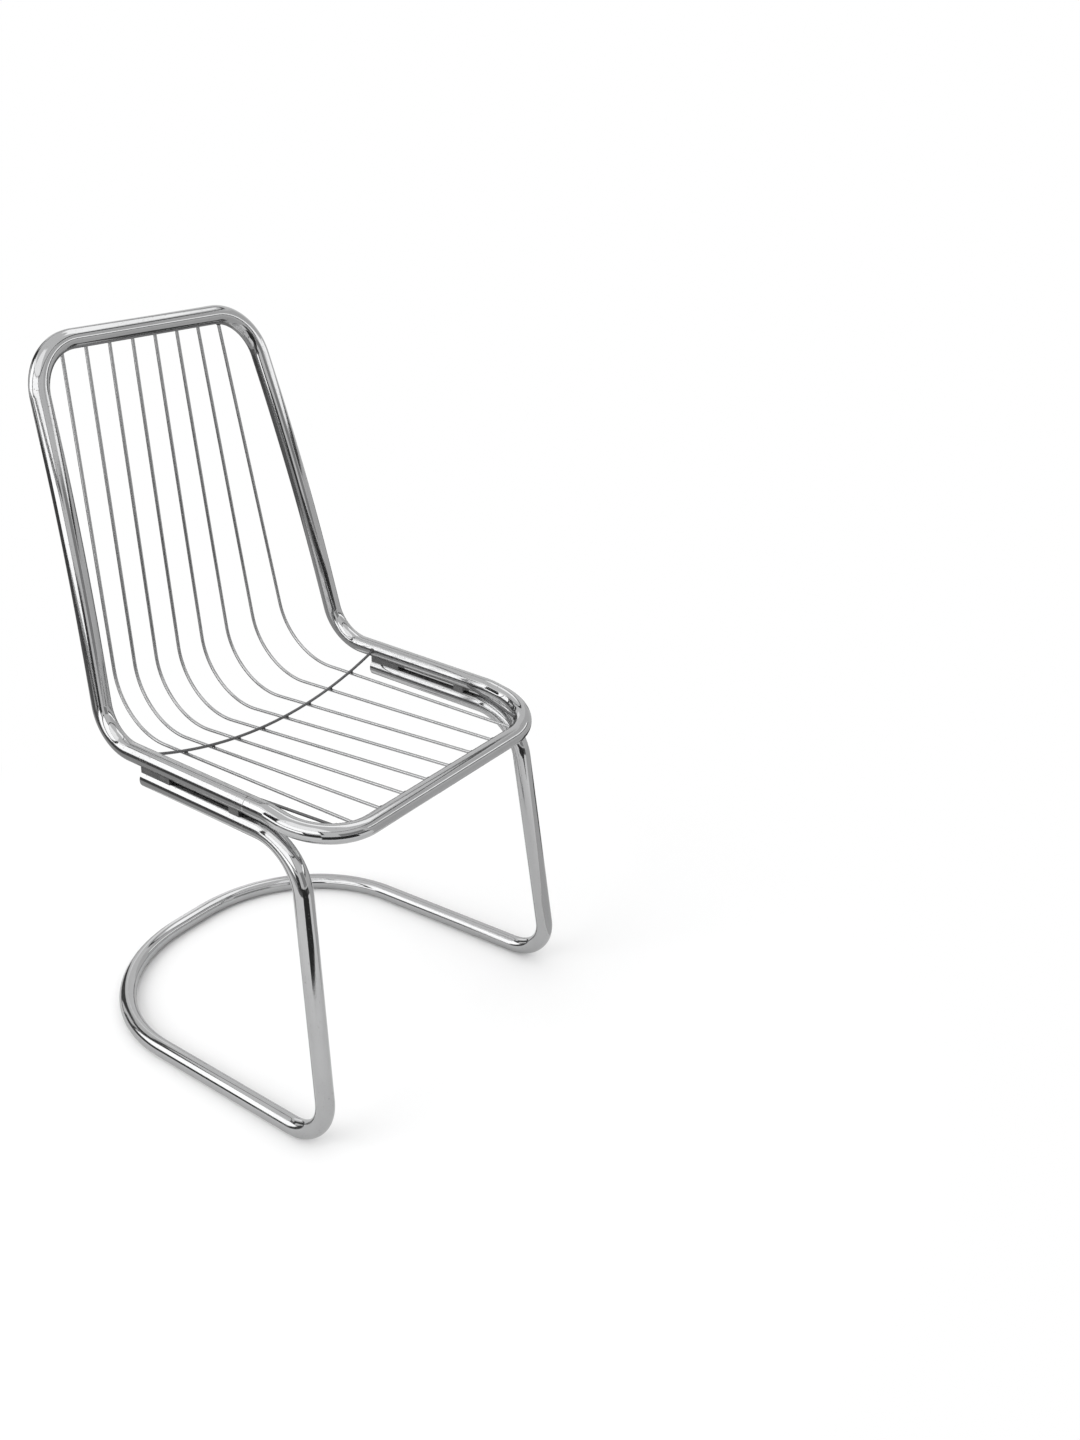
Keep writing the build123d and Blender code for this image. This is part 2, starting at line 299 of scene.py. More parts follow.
class Graph:
    """A node tree that is built by expressions."""

    def __init__(self, tree):
        self.tree = tree
        tree.nodes.clear()

    def node(self, kind, sockets=None, **settings):
        """Add a node: its settings first, then the values and links of its sockets."""
        made = self.tree.nodes.new(kind)
        for name, value in settings.items():
            setattr(made, name, value)
        for name, value in (sockets or {}).items():
            socket = named_socket(made.inputs, name)
            if isinstance(value, Link):
                self.tree.links.new(value.socket, socket)
            else:
                socket.default_value = value
        return Link(self, made.outputs[0]) if made.outputs else made

    def mixed(self, factor, first, second):
        """Blend two colours."""
        sockets = {"Factor_Float": factor, "A_Color": first, "B_Color": second}
        return self.node("ShaderNodeMix", sockets, data_type="RGBA").out("Result_Color")

    def own_place(self):
        """Where a point lies on its object."""
        return self.node("ShaderNodeTexCoord").out("Object")

    def noise(self, place, scale, detail, roughness, stretch=(1, 1, 1)):
        """Noise from 0 to 1 over a place, stretched along its axes."""
        spread = self.node("ShaderNodeVectorMath", {0: place, 1: stretch}, operation="MULTIPLY")
        return self.node(
            "ShaderNodeTexNoise",
            {"Vector": spread, "Scale": scale, "Detail": detail, "Roughness": roughness},
            noise_dimensions="3D",
            normalize=True,
        )

    def patches(self, place, scale, detail, roughness, contrast, cut, stretch=(1, 1, 1)):
        """Mask of patches: noise with more contrast, less what is cut off its low end."""
        return (self.noise(place, scale, detail, roughness, stretch) * contrast - cut).clamped()


def full(rgb, strength=1.0):
    """A colour, or a darker or paler one, with its fourth number."""
    return (*(value * strength for value in rgb), 1.0)


def new_material(name):
    """An empty material and its graph."""
    material = bpy.data.materials.new(name)
    material.use_nodes = True
    return material, Graph(material.node_tree)


def finish_surface(graph, tone, roughness, metallic, relief, bump, depth):
    """End a material in one Principled BSDF, with the strength and the depth of its relief."""
    normal = graph.node("ShaderNodeBump", {"Strength": bump, "Distance": depth, "Height": relief})
    surface = graph.node(
        "ShaderNodeBsdfPrincipled",
        {"Base Color": tone, "Roughness": roughness, "Metallic": metallic, "Normal": normal},
    )
    graph.node("ShaderNodeOutputMaterial", {"Surface": surface})


def painted_rail_shade(graph, tubes):
    """Mask of painted shade on the side rails' undersides where they run over the base tube, in the gap
    between the two tubes.
    """
    spot = graph.node("ShaderNodeSeparateXYZ", {0: graph.own_place()})
    along = spot.out("Y")
    depth = along * tan(tubes.seat_tilt) + rail_height(tubes, 0.0) - spot.out("Z")
    below = ((depth - tubes.rail_shade_top) / tubes.rail_shade_edge).clamped()
    above_base = ((tubes.tube_diameter / 2 + tubes.rail_shade_edge - depth) / tubes.rail_shade_edge).clamped()
    ends = ((along - tubes.rail_shade_front) / tubes.rail_shade_fade).clamped()
    return below * above_base * ends * ((tubes.rail_shade_back - along) / tubes.rail_shade_fade).clamped()


def plated_material(name, chrome, rust, roughness, haze_reach, pit_edge, shade_under_rails=None):
    """Old chrome plate: polishing lines, haze that dulls it in patches, pits in the haze, and, where asked
    for, painted shade under the side rails, broken up in patches.
    """
    material, graph = new_material(name)
    place = graph.node("ShaderNodeAttribute", attribute_name="tube_place").out("Vector")
    haze = graph.patches(place, 21, detail=4, roughness=0.6, contrast=2.6, cut=0.8, stretch=(0.45, 1, 1))
    smear = graph.patches(place, 95, detail=3, roughness=0.55, contrast=2.4, cut=0.7, stretch=(0.16, 1, 1))
    specks = graph.noise(place, 620, detail=2, roughness=0.5)
    pits = ((specks - pit_edge) * 14 + (haze - 1) * 1.6).clamped()
    lines = graph.noise(place, 60, detail=2, roughness=0.6, stretch=(36, 1, 1))
    waves = graph.noise(place, 30, detail=2, roughness=0.5, stretch=(0.5, 1, 1))
    dulled = graph.mixed(haze * 0.22 + smear * 0.08, full(chrome), full(chrome, 0.62))
    tone = graph.mixed(pits * 0.85, dulled, full(rust))
    gloss = haze * haze_reach + smear * (haze_reach * 0.45) + pits * 0.4 + roughness
    metal = 1 - pits * 0.5
    # Painted shade: the side rails' undersides over the base tube are darkened in uneven patches, and made
    # rougher and less metallic there.
    if shade_under_rails:
        tubes, grime_and_shade = shade_under_rails
        shade_breakup = graph.noise(place, 140, detail=3, roughness=0.6) * 0.5 + 0.65
        darkening = (painted_rail_shade(graph, tubes) * shade_breakup).clamped()
        tone = graph.mixed(darkening * 0.92, tone, full(grime_and_shade))
        gloss = gloss + darkening * 0.2
        metal = metal - darkening * 0.4
    relief = lines * 0.12 + waves * 0.5 - pits
    finish_surface(graph, tone, gloss, metal, relief, bump=0.05, depth=0.0006)
    return material


def weld_material(finishes):
    """Plate over weld beads: darker, lumpy and dirty in the hollows."""
    material, graph = new_material("Chair Weld")
    lumps = graph.noise(graph.own_place(), 900, detail=3, roughness=0.6)
    clean = (lumps * 3.0 - 1.1).clamped()
    tone = graph.mixed(clean, full(finishes.grime_and_shade), full(finishes.weld_chrome))
    finish_surface(graph, tone, 0.55 - clean * 0.25, 0.6 + clean * 0.4, lumps, bump=0.35, depth=0.0004)
    return material


def pad_material(finishes):
    """Plate on the saddle pads: filed faces, darkened all over as painted shade of the gap they sit in, with
    grimy patches.
    """
    material, graph = new_material("Chair Pad")
    place = graph.own_place()
    filing = graph.noise(place, 40, detail=3, roughness=0.6, stretch=(1, 26, 1))
    darkening = graph.patches(place, 130, detail=4, roughness=0.6, contrast=3.2, cut=1.5)
    # Painted shade: the pads' plate is set at under half the tube chrome's brightness for the shade in the
    # gap between rail and base tube; the noisy patches are soiling.
    tone = graph.mixed(darkening * 0.8, full(finishes.tube_chrome, 0.42), full(finishes.grime_and_shade))
    gloss = 0.2 + filing * 0.12 + darkening * 0.3
    finish_surface(graph, tone, gloss, 1 - darkening * 0.6, filing, bump=0.12, depth=0.0004)
    return material


def steel_material(finishes):
    """Bare steel inside the tubes: drawn lines and a brown bloom."""
    material, graph = new_material("Chair Bare Steel")
    place = graph.own_place()
    lines = graph.noise(place, 60, detail=3, roughness=0.6, stretch=(24, 1, 24))
    bloom = graph.patches(place, 70, detail=4, roughness=0.6, contrast=2.6, cut=1.0)
    tone = graph.mixed(bloom * 0.7, full(finishes.bare_steel), full(finishes.rust))
    gloss = 0.36 + bloom * 0.3 + lines * 0.08
    finish_surface(graph, tone, gloss, 1 - bloom * 0.5, lines, bump=0.1, depth=0.0003)
    return material


def fixing_material(finishes):
    """Zinc plate on screws and washers: cloudy, with grimy patches."""
    material, graph = new_material("Chair Fixings")
    place = graph.own_place()
    cloud = graph.noise(place, 240, detail=4, roughness=0.6)
    darkening = graph.patches(place, 420, detail=3, roughness=0.6, contrast=4, cut=2.3)
    plate = graph.mixed(cloud, full(finishes.zinc, 0.8), full(finishes.zinc))
    tone = graph.mixed(darkening, plate, full(finishes.grime_and_shade))
    gloss = 0.24 + cloud * 0.16 + darkening * 0.3
    finish_surface(graph, tone, gloss, 1 - darkening * 0.6, cloud, bump=0.1, depth=0.0002)
    return material


def plug_material(finishes):
    """Moulded plastic: fine grain, scuffed paler in patches."""
    material, graph = new_material("Chair Plug")
    place = graph.own_place()
    grain = graph.noise(place, 1600, detail=2, roughness=0.5)
    scuff = graph.patches(place, 160, detail=4, roughness=0.65, contrast=3, cut=1.6)
    tone = graph.mixed(scuff * 0.5, full(finishes.plug), full(finishes.plug, 4))
    gloss = 0.42 + scuff * 0.25 + grain * 0.08
    finish_surface(graph, tone, gloss, 0.0, grain, bump=0.18, depth=0.0002)
    return material


def new_tree(name, sockets):
    """A Geometry Nodes tree with named inputs and one geometry output, and a link to its inputs."""
    tree = bpy.data.node_groups.new(name, "GeometryNodeTree")
    tree.is_modifier = True
    for label, kind in sockets:
        tree.interface.new_socket(label, in_out="INPUT", socket_type=kind)
    tree.interface.new_socket("Piece", in_out="OUTPUT", socket_type="NodeSocketGeometry")
    graph = Graph(tree)
    return graph, graph.node("NodeGroupInput")


def end_tree(graph, geometry, finish):
    """Close a tree: real geometry with its finish."""
    real = graph.node("GeometryNodeRealizeInstances", {"Geometry": geometry})
    finished = graph.node("GeometryNodeSetMaterial", {"Geometry": real, "Material": finish})
    graph.node("NodeGroupOutput", {0: finished})
    return graph.tree


def stored(graph, geometry, kind, name, value):
    """Keep a value on a geometry's points."""
    return graph.node(
        "GeometryNodeStoreNamedAttribute",
        {"Geometry": geometry, "Name": name, "Value": value},
        data_type=kind,
        domain="POINT",
    )


def read(graph, kind, name):
    """A value kept on points."""
    return graph.node("GeometryNodeInputNamedAttribute", {"Name": name}, data_type=kind)


def rod_tree():
    """Round stock swept along paths whose corners are rounded to their own bend radius, and drilled."""
    graph, given = new_tree(
        "Chair Bent Rod",
        [
            ("Path", "NodeSocketGeometry"),
            ("Diameter", "NodeSocketFloat"),
            ("Sides", "NodeSocketInt"),
            ("Bend Steps", "NodeSocketInt"),
            ("Drill", "NodeSocketObject"),
            ("Finish", "NodeSocketMaterial"),
        ],
    )
    line = graph.node("GeometryNodeMeshToCurve", {"Mesh": given.out("Path")})
    bent = graph.node(
        "GeometryNodeFilletCurve",
        {"Curve": line, "Count": given.out("Bend Steps"), "Radius": read(graph, "FLOAT", "bend_radius")},
        mode="POLY",
    )
    length = graph.node("GeometryNodeSplineParameter").out("Length")
    measured = stored(graph, bent, "FLOAT", "along", length)
    ring = graph.node(
        "GeometryNodeCurvePrimitiveCircle",
        {"Resolution": given.out("Sides"), "Radius": given.out("Diameter") / 2},
        mode="RADIUS",
    )
    marked = stored(graph, ring, "FLOAT_VECTOR", "around", graph.node("GeometryNodeInputPosition"))
    skin = graph.node(
        "GeometryNodeCurveToMesh",
        {
            "Curve": measured,
            "Profile Curve": marked,
            "Scale": read(graph, "FLOAT", "end_scale"),
            "Fill Caps": True,
        },
    )
    turn = graph.node("ShaderNodeSeparateXYZ", {0: read(graph, "FLOAT_VECTOR", "around")})
    place = graph.node(
        "ShaderNodeCombineXYZ", {0: read(graph, "FLOAT", "along"), 1: turn.out("X"), 2: turn.out("Y")}
    )
    placed = stored(graph, skin, "FLOAT_VECTOR", "tube_place", place)
    joined = graph.node("GeometryNodeMergeByDistance", {"Geometry": placed, "Distance": merge_distance})
    smooth = graph.node("GeometryNodeSetShadeSmooth", {"Geometry": joined})
    holes = graph.node("GeometryNodeObjectInfo", {"Object": given.out("Drill")}).out("Geometry")
    drilled = graph.node(
        "GeometryNodeMeshBoolean",
        {"Mesh 1": smooth, "Mesh 2": holes},
        operation="DIFFERENCE",
        solver="EXACT",
    )
    nearest = graph.node(
        "GeometryNodeSampleNearestSurface",
        {"Mesh": smooth, "Value": read(graph, "FLOAT_VECTOR", "tube_place")},
        data_type="FLOAT_VECTOR",
    )
    restored = stored(graph, drilled, "FLOAT_VECTOR", "tube_place", nearest)
    corners = graph.node("GeometryNodeAttributeDomainSize", {"Geometry": holes}, component="MESH")
    has_holes = graph.node(
        "FunctionNodeCompare", {"A_INT": corners, "B_INT": 0}, data_type="INT", operation="GREATER_THAN"
    )
    finished = graph.node(
        "GeometryNodeSwitch",
        {"Switch": has_holes, "False": smooth, "True": restored},
        input_type="GEOMETRY",
    )
    return end_tree(graph, finished, given.out("Finish"))


def bead_tree():
    """Uneven beads of weld on points."""
    graph, given = new_tree(
        "Chair Weld Beads",
        [
            ("Joints", "NodeSocketGeometry"),
            ("Segments", "NodeSocketInt"),
            ("Rings", "NodeSocketInt"),
            ("Unevenness", "NodeSocketFloat"),
            ("Seed", "NodeSocketInt"),
            ("Finish", "NodeSocketMaterial"),
        ],
    )
    ball = graph.node(
        "GeometryNodeMeshUVSphere",
        {"Segments": given.out("Segments"), "Rings": given.out("Rings"), "Radius": 0.5},
    )
    upright = graph.node(
        "FunctionNodeAlignRotationToVector", {"Vector": read(graph, "FLOAT_VECTOR", "facing")}, axis="Z"
    )
    size = read(graph, "FLOAT_VECTOR", "bead_size")
    beads = graph.node(
        "GeometryNodeInstanceOnPoints",
        {"Points": given.out("Joints"), "Instance": ball, "Rotation": upright, "Scale": size},
    )
    real = graph.node("GeometryNodeRealizeInstances", {"Geometry": beads})
    spot = graph.node("GeometryNodeInputPosition")
    lump_scale, seed_stride = 420.0, 3.7
    lumps = graph.node(
        "ShaderNodeTexNoise",
        {"Vector": spot, "W": given.out("Seed") * seed_stride, "Scale": lump_scale, "Detail": 2.0},
        noise_dimensions="4D",
    )
    rise = (lumps - 0.5) * given.out("Unevenness") * 2
    outwards = graph.node(
        "ShaderNodeVectorMath",
        {"Vector": graph.node("GeometryNodeInputNormal"), "Scale": rise},
        operation="SCALE",
    ).out("Vector")
    moved = graph.node("GeometryNodeSetPosition", {"Geometry": real, "Offset": outwards})
    smooth = graph.node("GeometryNodeSetShadeSmooth", {"Geometry": moved})
    return end_tree(graph, smooth, given.out("Finish"))


def shared(store, name, make, *given):
    """A material or tree that is made once."""
    return store.get(name) or make(*given)


# Paths

def rail_height(tubes, y):
    """Height of a side rail's axis at a place along it."""
    return tubes.rear_corner_height - (tubes.rear_corner_y - y) * tan(tubes.seat_tilt)


def run_point(tubes, y):
    """Point on the base's right upper run, square below a place along the rail."""
    tilt = tubes.seat_tilt
    return (
        -tubes.seat_half_width,
        y + tubes.rail_spacing * sin(tilt),
        rail_height(tubes, y) - tubes.rail_spacing * cos(tilt),
    )


def mirrored(half):
    """The right half of a path followed by its mirror image on the left."""
    return half + [((-x, y, z), bend) for (x, y, z), bend in reversed(half)]


def front_rail_height(tubes):
    """Height of the front rail's axis."""
    return rail_height(tubes, tubes.knee_y) - tubes.front_drop


def rear_loop_path(tubes):
    """Seat rails, back rails and top rail."""
    run = tubes.top_rail_y - tubes.rear_corner_y
    rise = tubes.top_rail_height - tubes.rear_corner_height
    reach = hypot(run, rise)
    bow = tubes.back_bow
    bow_point = (
        -(tubes.seat_half_width + tubes.top_half_width) / 2,
        (tubes.rear_corner_y + tubes.top_rail_y) / 2 - bow * rise / reach,
        (tubes.rear_corner_height + tubes.top_rail_height) / 2 + bow * run / reach,
    )
    return mirrored(
        [
            ((-tubes.seat_half_width, tubes.seam_y, rail_height(tubes, tubes.seam_y)), 0),
            ((-tubes.seat_half_width, tubes.rear_corner_y, tubes.rear_corner_height), tubes.rear_corner_bend),
            (bow_point, tubes.back_bow_share * (reach / 2) ** 2 / bow),
            ((-tubes.top_half_width, tubes.top_rail_y, tubes.top_rail_height), tubes.top_corner_bend),
        ]
    )


def front_loop_path(tubes):
    """Front of the seat, bent down from the rails."""
    wide = -tubes.seat_half_width
    return mirrored(
        [
            ((wide, tubes.seam_y, rail_height(tubes, tubes.seam_y)), 0),
            ((wide, tubes.knee_y, rail_height(tubes, tubes.knee_y)), tubes.knee_bend),
            ((wide, tubes.front_rail_y, front_rail_height(tubes)), tubes.front_corner_bend),
        ]
    )


def screw_places(tubes):
    """Places along a rail of its two screws."""
    return tubes.run_end_y - tubes.rear_screw_inset * cos(tubes.seat_tilt), tubes.front_screw_y


def base_path(tubes):
    """Under the rails, down the legs and round the floor, with extra points on both sides of the holes."""
    floor = tubes.tube_diameter / 2
    beside = tubes.access_hole_diameter * tubes.hole_margin
    near_holes = [place + step for place in screw_places(tubes) for step in (beside, -beside)]
    return mirrored(
        [(run_point(tubes, y), 0) for y in (tubes.run_end_y, *near_holes)]
        + [
            (run_point(tubes, tubes.leg_top_y), tubes.leg_top_bend),
            ((-tubes.foot_half_width, tubes.foot_y, floor), tubes.foot_bend),
            ((-tubes.loop_half_width, tubes.loop_back_y, floor), tubes.loop_bend),
        ]
    )


def cross_circle(tubes, wires):
    """Radius of the cross wire's arc and the height of the arc's middle."""
    radius = (tubes.seat_half_width**2 + wires.cross_sag**2) / (2 * wires.cross_sag)
    middle = rail_height(tubes, wires.cross_y) + wires.cross_end_rise - wires.cross_sag
    return radius, middle


def crossing_height(tubes, wires, across):
    """Height of a long wire's axis where the cross wire lies on it."""
    radius, middle = cross_circle(tubes, wires)
    under = radius + (wires.wire_diameter + wires.thin_wire_diameter) / 2 + wires.touch_gap
    return middle + radius - sqrt(under**2 - across**2)


def long_wire_points(tubes, wires, index):
    """Top end, corner and front end of a long wire."""
    place = index - (wires.wire_count - 1) / 2
    across = place * wires.seat_pitch
    dish = (2 * place / (wires.wire_count - 1)) ** 2
    front = front_rail_height(tubes) + wires.front_rise
    rise = crossing_height(tubes, wires, across) - front
    slope = rise / (wires.cross_y - tubes.front_rail_y)
    corner_y = wires.corner_y_middle + dish * (wires.corner_y_side - wires.corner_y_middle)
    return (
        Vector((place * wires.top_pitch, tubes.top_rail_y + wires.top_setback, tubes.top_rail_height)),
        Vector((across, corner_y, front + slope * (corner_y - tubes.front_rail_y))),
        Vector((across, tubes.front_rail_y, front)),
    )


def leaves_tube(end, towards, axis_point, axis, reach):
    """Where a wire that starts inside a tube comes out to a distance from the tube's axis."""
    way = (towards - end).normalized()
    axis = axis.normalized()
    flat_way = way - axis * way.dot(axis)
    flat_end = (end - axis_point) - axis * (end - axis_point).dot(axis)
    a = flat_way.length_squared
    b = flat_end.dot(flat_way)
    c = flat_end.length_squared - reach**2
    return end + way * ((sqrt(b * b - a * c) - b) / a)


# Pieces

def mesh_object(name, points, edges=(), faces=()):
    """A new object with its own mesh."""
    mesh = bpy.data.meshes.new(name)
    mesh.from_pydata(points, edges, faces)
    return bpy.data.objects.new(name, mesh)


def path_object(name, strand, end_chamfer, radius):
    """A line to sweep along: each point has its bend radius, and the ends are drawn in for a broken edge."""
    points = [(Vector(point), bend, 1.0) for point, bend in strand]
    if end_chamfer:
        drawn_in = 1 - end_chamfer / radius
        start, second = points[0][0], points[1][0]
        finish, before = points[-1][0], points[-2][0]
        near_start = start + (second - start).normalized() * end_chamfer
        near_finish = finish + (before - finish).normalized() * end_chamfer
        points[:1] = [(start, 0, drawn_in), (near_start, 0, 1.0)]
        points[-1:] = [(near_finish, 0, 1.0), (finish, 0, drawn_in)]
    places, bends, scales = zip(*points)
    line = mesh_object(name, places, edges=[(i, i + 1) for i in range(len(places) - 1)])
    line.data.attributes.new("bend_radius", "FLOAT", "POINT").data.foreach_set("value", bends)
    line.data.attributes.new("end_scale", "FLOAT", "POINT").data.foreach_set("value", scales)
    return line


def shaped(piece, tree, **inputs):
    """Run a tree on a piece and keep the result as a plain mesh."""
    bpy.context.scene.collection.objects.link(piece)
    modifier = piece.modifiers.new(tree.name, "NODES")
    modifier.node_group = tree
    labels = {item.name.replace(" ", "_").lower(): item.identifier for item in tree.interface.items_tree}
    for name, value in inputs.items():
        modifier[labels[name]] = value
    graph = bpy.context.evaluated_depsgraph_get()
    mesh = bpy.data.meshes.new_from_object(
        piece.evaluated_get(graph), preserve_all_data_layers=True, depsgraph=graph
    )
    piece.modifiers.clear()
    mesh.name = piece.name
    piece.data = mesh
    for name in ("bend_radius", "end_scale", "along", "around", "facing", "bead_size"):
        if name in mesh.attributes:
            mesh.attributes.remove(mesh.attributes[name])
    mesh.set_sharp_from_angle(angle=radians(crease_angle))
    if not mesh.polygons:
        raise RuntimeError(f"{piece.name} came out empty")
    return piece


def belongs(piece):
    """Put a piece on the chair's body."""
    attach(piece, body)


def stands_for(piece, node, slack):
    """Put a piece in the place of a CAD node, and stop if it isn't where the node is."""
    for axis, (low, high) in enumerate(zip(*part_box(node))):
        mine = [vertex.co[axis] for vertex in piece.data.vertices]
        if abs(min(mine) - low) > slack or abs(max(mine) - high) > slack:
            raise RuntimeError(f"{piece.name} is off its CAD node: {min(mine) - low}, {max(mine) - high}")
    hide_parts(node)


def drill_object(tubes):
    """What is drilled out of the base tube: holes in its underside and its open ends."""
    mesh = bmesh.new()
    along = Vector((0, cos(tubes.seat_tilt), sin(tubes.seat_tilt)))
    square = Vector((0, -sin(tubes.seat_tilt), cos(tubes.seat_tilt)))
    length = tubes.tube_diameter
    cuts = [(run_point(tubes, tubes.run_end_y), along, -tubes.plug_depth, tubes.bore_diameter)]
    for place in screw_places(tubes):
        cuts.append((run_point(tubes, place), -square, -tubes.access_hole_rise, tubes.access_hole_diameter))
    for (x, y, z), way, start, width in cuts:
        turn = way.to_track_quat("Z", "X").to_matrix().to_4x4()
        for side in (x, -x):
            middle = Vector((side, y, z)) + way * (start + length / 2)
            bmesh.ops.create_cone(
                mesh,
                cap_ends=True,
                segments=tubes.sides,
                radius1=width / 2,
                radius2=width / 2,
                depth=length,
                matrix=Matrix.Translation(middle) @ turn,
            )
    data = bpy.data.meshes.new("drill")
    mesh.to_mesh(data)
    mesh.free()
    return bpy.data.objects.new("drill", data)


def swept(name, strand, chamfer, diameter, fineness, material, drill=None):
    """Round stock bent along a path."""
    return shaped(
        path_object(name, strand, chamfer, diameter / 2),
        shared(bpy.data.node_groups, "Chair Bent Rod", rod_tree),
        diameter=diameter,
        sides=fineness.sides,
        bend_steps=fineness.bend_steps,
        drill=drill,
        finish=material,
    )


def bent_tube(context, name, path, node, drill=None):
    """One of the chair's tubes."""
    tubes, finishes = context.scene.chair_tubes, context.scene.chair_finishes
    haze_reach, pit_edge = 0.08, 0.64
    # The tubes' plate carries painted shade under the side rails, over the base tube.
    material = shared(
        bpy.data.materials, "Chair Tube", plated_material,
        "Chair Tube", finishes.tube_chrome, finishes.rust, finishes.tube_roughness, haze_reach, pit_edge,
        (tubes, finishes.grime_and_shade),
    )
    piece = swept(name, path, tubes.seam_chamfer, tubes.tube_diameter, tubes, material, drill)
    belongs(piece)
    stands_for(piece, node, tube_slack)


def long_wire(context, name, strand, node):
    """A long wire of the sling."""
    wires, finishes = context.scene.chair_wires, context.scene.chair_finishes
    haze_reach, pit_edge = 0.14, 0.62
    material = shared(
        bpy.data.materials, "Chair Wire", plated_material,
        "Chair Wire", finishes.wire_chrome, finishes.rust, finishes.wire_roughness, haze_reach, pit_edge,
    )
    piece = swept(name, strand, 0, wires.wire_diameter, wires, material)
    belongs(piece)
    stands_for(piece, node, long_wire_slack)


def thin_wire(context, name, strand, node):
    """The cross wire, or a stay."""
    wires, finishes = context.scene.chair_wires, context.scene.chair_finishes
    haze_reach, pit_edge = 0.20, 0.60
    material = shared(
        bpy.data.materials, "Chair Dark Wire", plated_material,
        "Chair Dark Wire", finishes.dark_wire, finishes.rust, finishes.dark_wire_roughness,
        haze_reach, pit_edge,
    )
    piece = swept(name, strand, 0, wires.thin_wire_diameter, wires, material)
    belongs(piece)
    stands_for(piece, node, thin_wire_slack)


class CHAIR_OT_seat_frame(bpy.types.Operator):
    """Build the two bent tubes of the seat and back"""

    bl_idname = "chair.seat_frame"
    bl_label = "Seat Frame"

    def execute(self, context):
        tubes = context.scene.chair_tubes
        bent_tube(context, "seat_and_back_tube", rear_loop_path(tubes), "rear_loop")
        bent_tube(context, "seat_front_tube", front_loop_path(tubes), "front_loop")
        return {"FINISHED"}


class CHAIR_OT_base(bpy.types.Operator):
    """Build the bent tube of the base"""

    bl_idname = "chair.base"
    bl_label = "Base"

    def execute(self, context):
        tubes = context.scene.chair_tubes
        drill = drill_object(tubes)
        bent_tube(context, "cantilever_base_tube", base_path(tubes), "base_tube", drill)
        bpy.data.objects.remove(drill)
        return {"FINISHED"}


def turned_in(rail, towards, half_width, bend, across):
    """Point on a rail's axis at a place across the chair, past the start of the bend at its corner."""
    past = max(0.0, abs(across) - (half_width - bend))
    return rail + (towards - rail).normalized() * (bend - sqrt(bend**2 - past**2))


def top_and_front(tubes, wires, index):
    """Where a long wire enters the walls of the top rail and the front rail, with the rails' axes there."""
    top, corner, front = long_wire_points(tubes, wires, index)
    sideways = Vector((1, 0, 0))
    top_axis = turned_in(
        Vector((0, tubes.top_rail_y, tubes.top_rail_height)),
        Vector((0, tubes.rear_corner_y, tubes.rear_corner_height)),
        tubes.top_half_width,
        tubes.top_corner_bend,
        top.x,
    )
    front_axis = turned_in(
        Vector((0, tubes.front_rail_y, front_rail_height(tubes))),
        Vector((0, tubes.knee_y, rail_height(tubes, tubes.knee_y))),
        tubes.seat_half_width,
        tubes.front_corner_bend,
        front.x,
    )
    reach = tubes.tube_diameter / 2 - wires.weld_bite
    return (
        leaves_tube(top, corner, top_axis, sideways, reach),
        corner,
        leaves_tube(front, corner, front_axis, sideways, reach),
        top_axis,
        front_axis,
    )


class CHAIR_OT_long_wires(bpy.types.Operator):
    """Build the long wires of the sling, from the top rail down and forward to the front rail"""

    bl_idname = "chair.long_wires"
    bl_label = "Long Wires"

    def execute(self, context):
        tubes, wires = context.scene.chair_tubes, context.scene.chair_wires
        for index in range(wires.wire_count):
            top, corner, front, _, _ = top_and_front(tubes, wires, index)
            strand = [(top, 0), (corner, wires.wire_bend), (front, 0)]
            long_wire(context, f"sling_wire_{index + 1}", strand, f"wire_{index + 1}")
        return {"FINISHED"}


def cross_wire_end(tubes, wires):
    """Right end of the cross wire's axis, drawn in to the rail's wall, and the rail's axis there."""
    radius, middle = cross_circle(tubes, wires)
    axis = Vector((-tubes.seat_half_width, wires.cross_y, rail_height(tubes, wires.cross_y)))
    end = axis + Vector((0, 0, wires.cross_end_rise))
    falling = Vector((1, 0, -tan(asin(tubes.seat_half_width / radius))))
    reach = tubes.tube_diameter / 2 - wires.weld_bite
    across = leaves_tube(end, end + falling, axis, Vector((0, 1, 0)), reach).x
    return Vector((across, wires.cross_y, middle + radius - sqrt(radius**2 - across**2))), axis


class CHAIR_OT_cross_wire(bpy.types.Operator):
    """Build the arched wire that lies over the long wires"""

    bl_idname = "chair.cross_wire"
    bl_label = "Cross Wire"

    def execute(self, context):
        tubes, wires = context.scene.chair_tubes, context.scene.chair_wires
        radius, _ = cross_circle(tubes, wires)
        end, _ = cross_wire_end(tubes, wires)
        corner = Vector((0, end.y, end.z + end.x * tan(asin(-end.x / radius))))
        other = Vector((-end.x, end.y, end.z))
        strand = [(end, 0), (corner, radius * wires.cross_arc_share), (other, 0)]
        thin_wire(context, "sling_cross_wire", strand, "cross_wire")
        return {"FINISHED"}


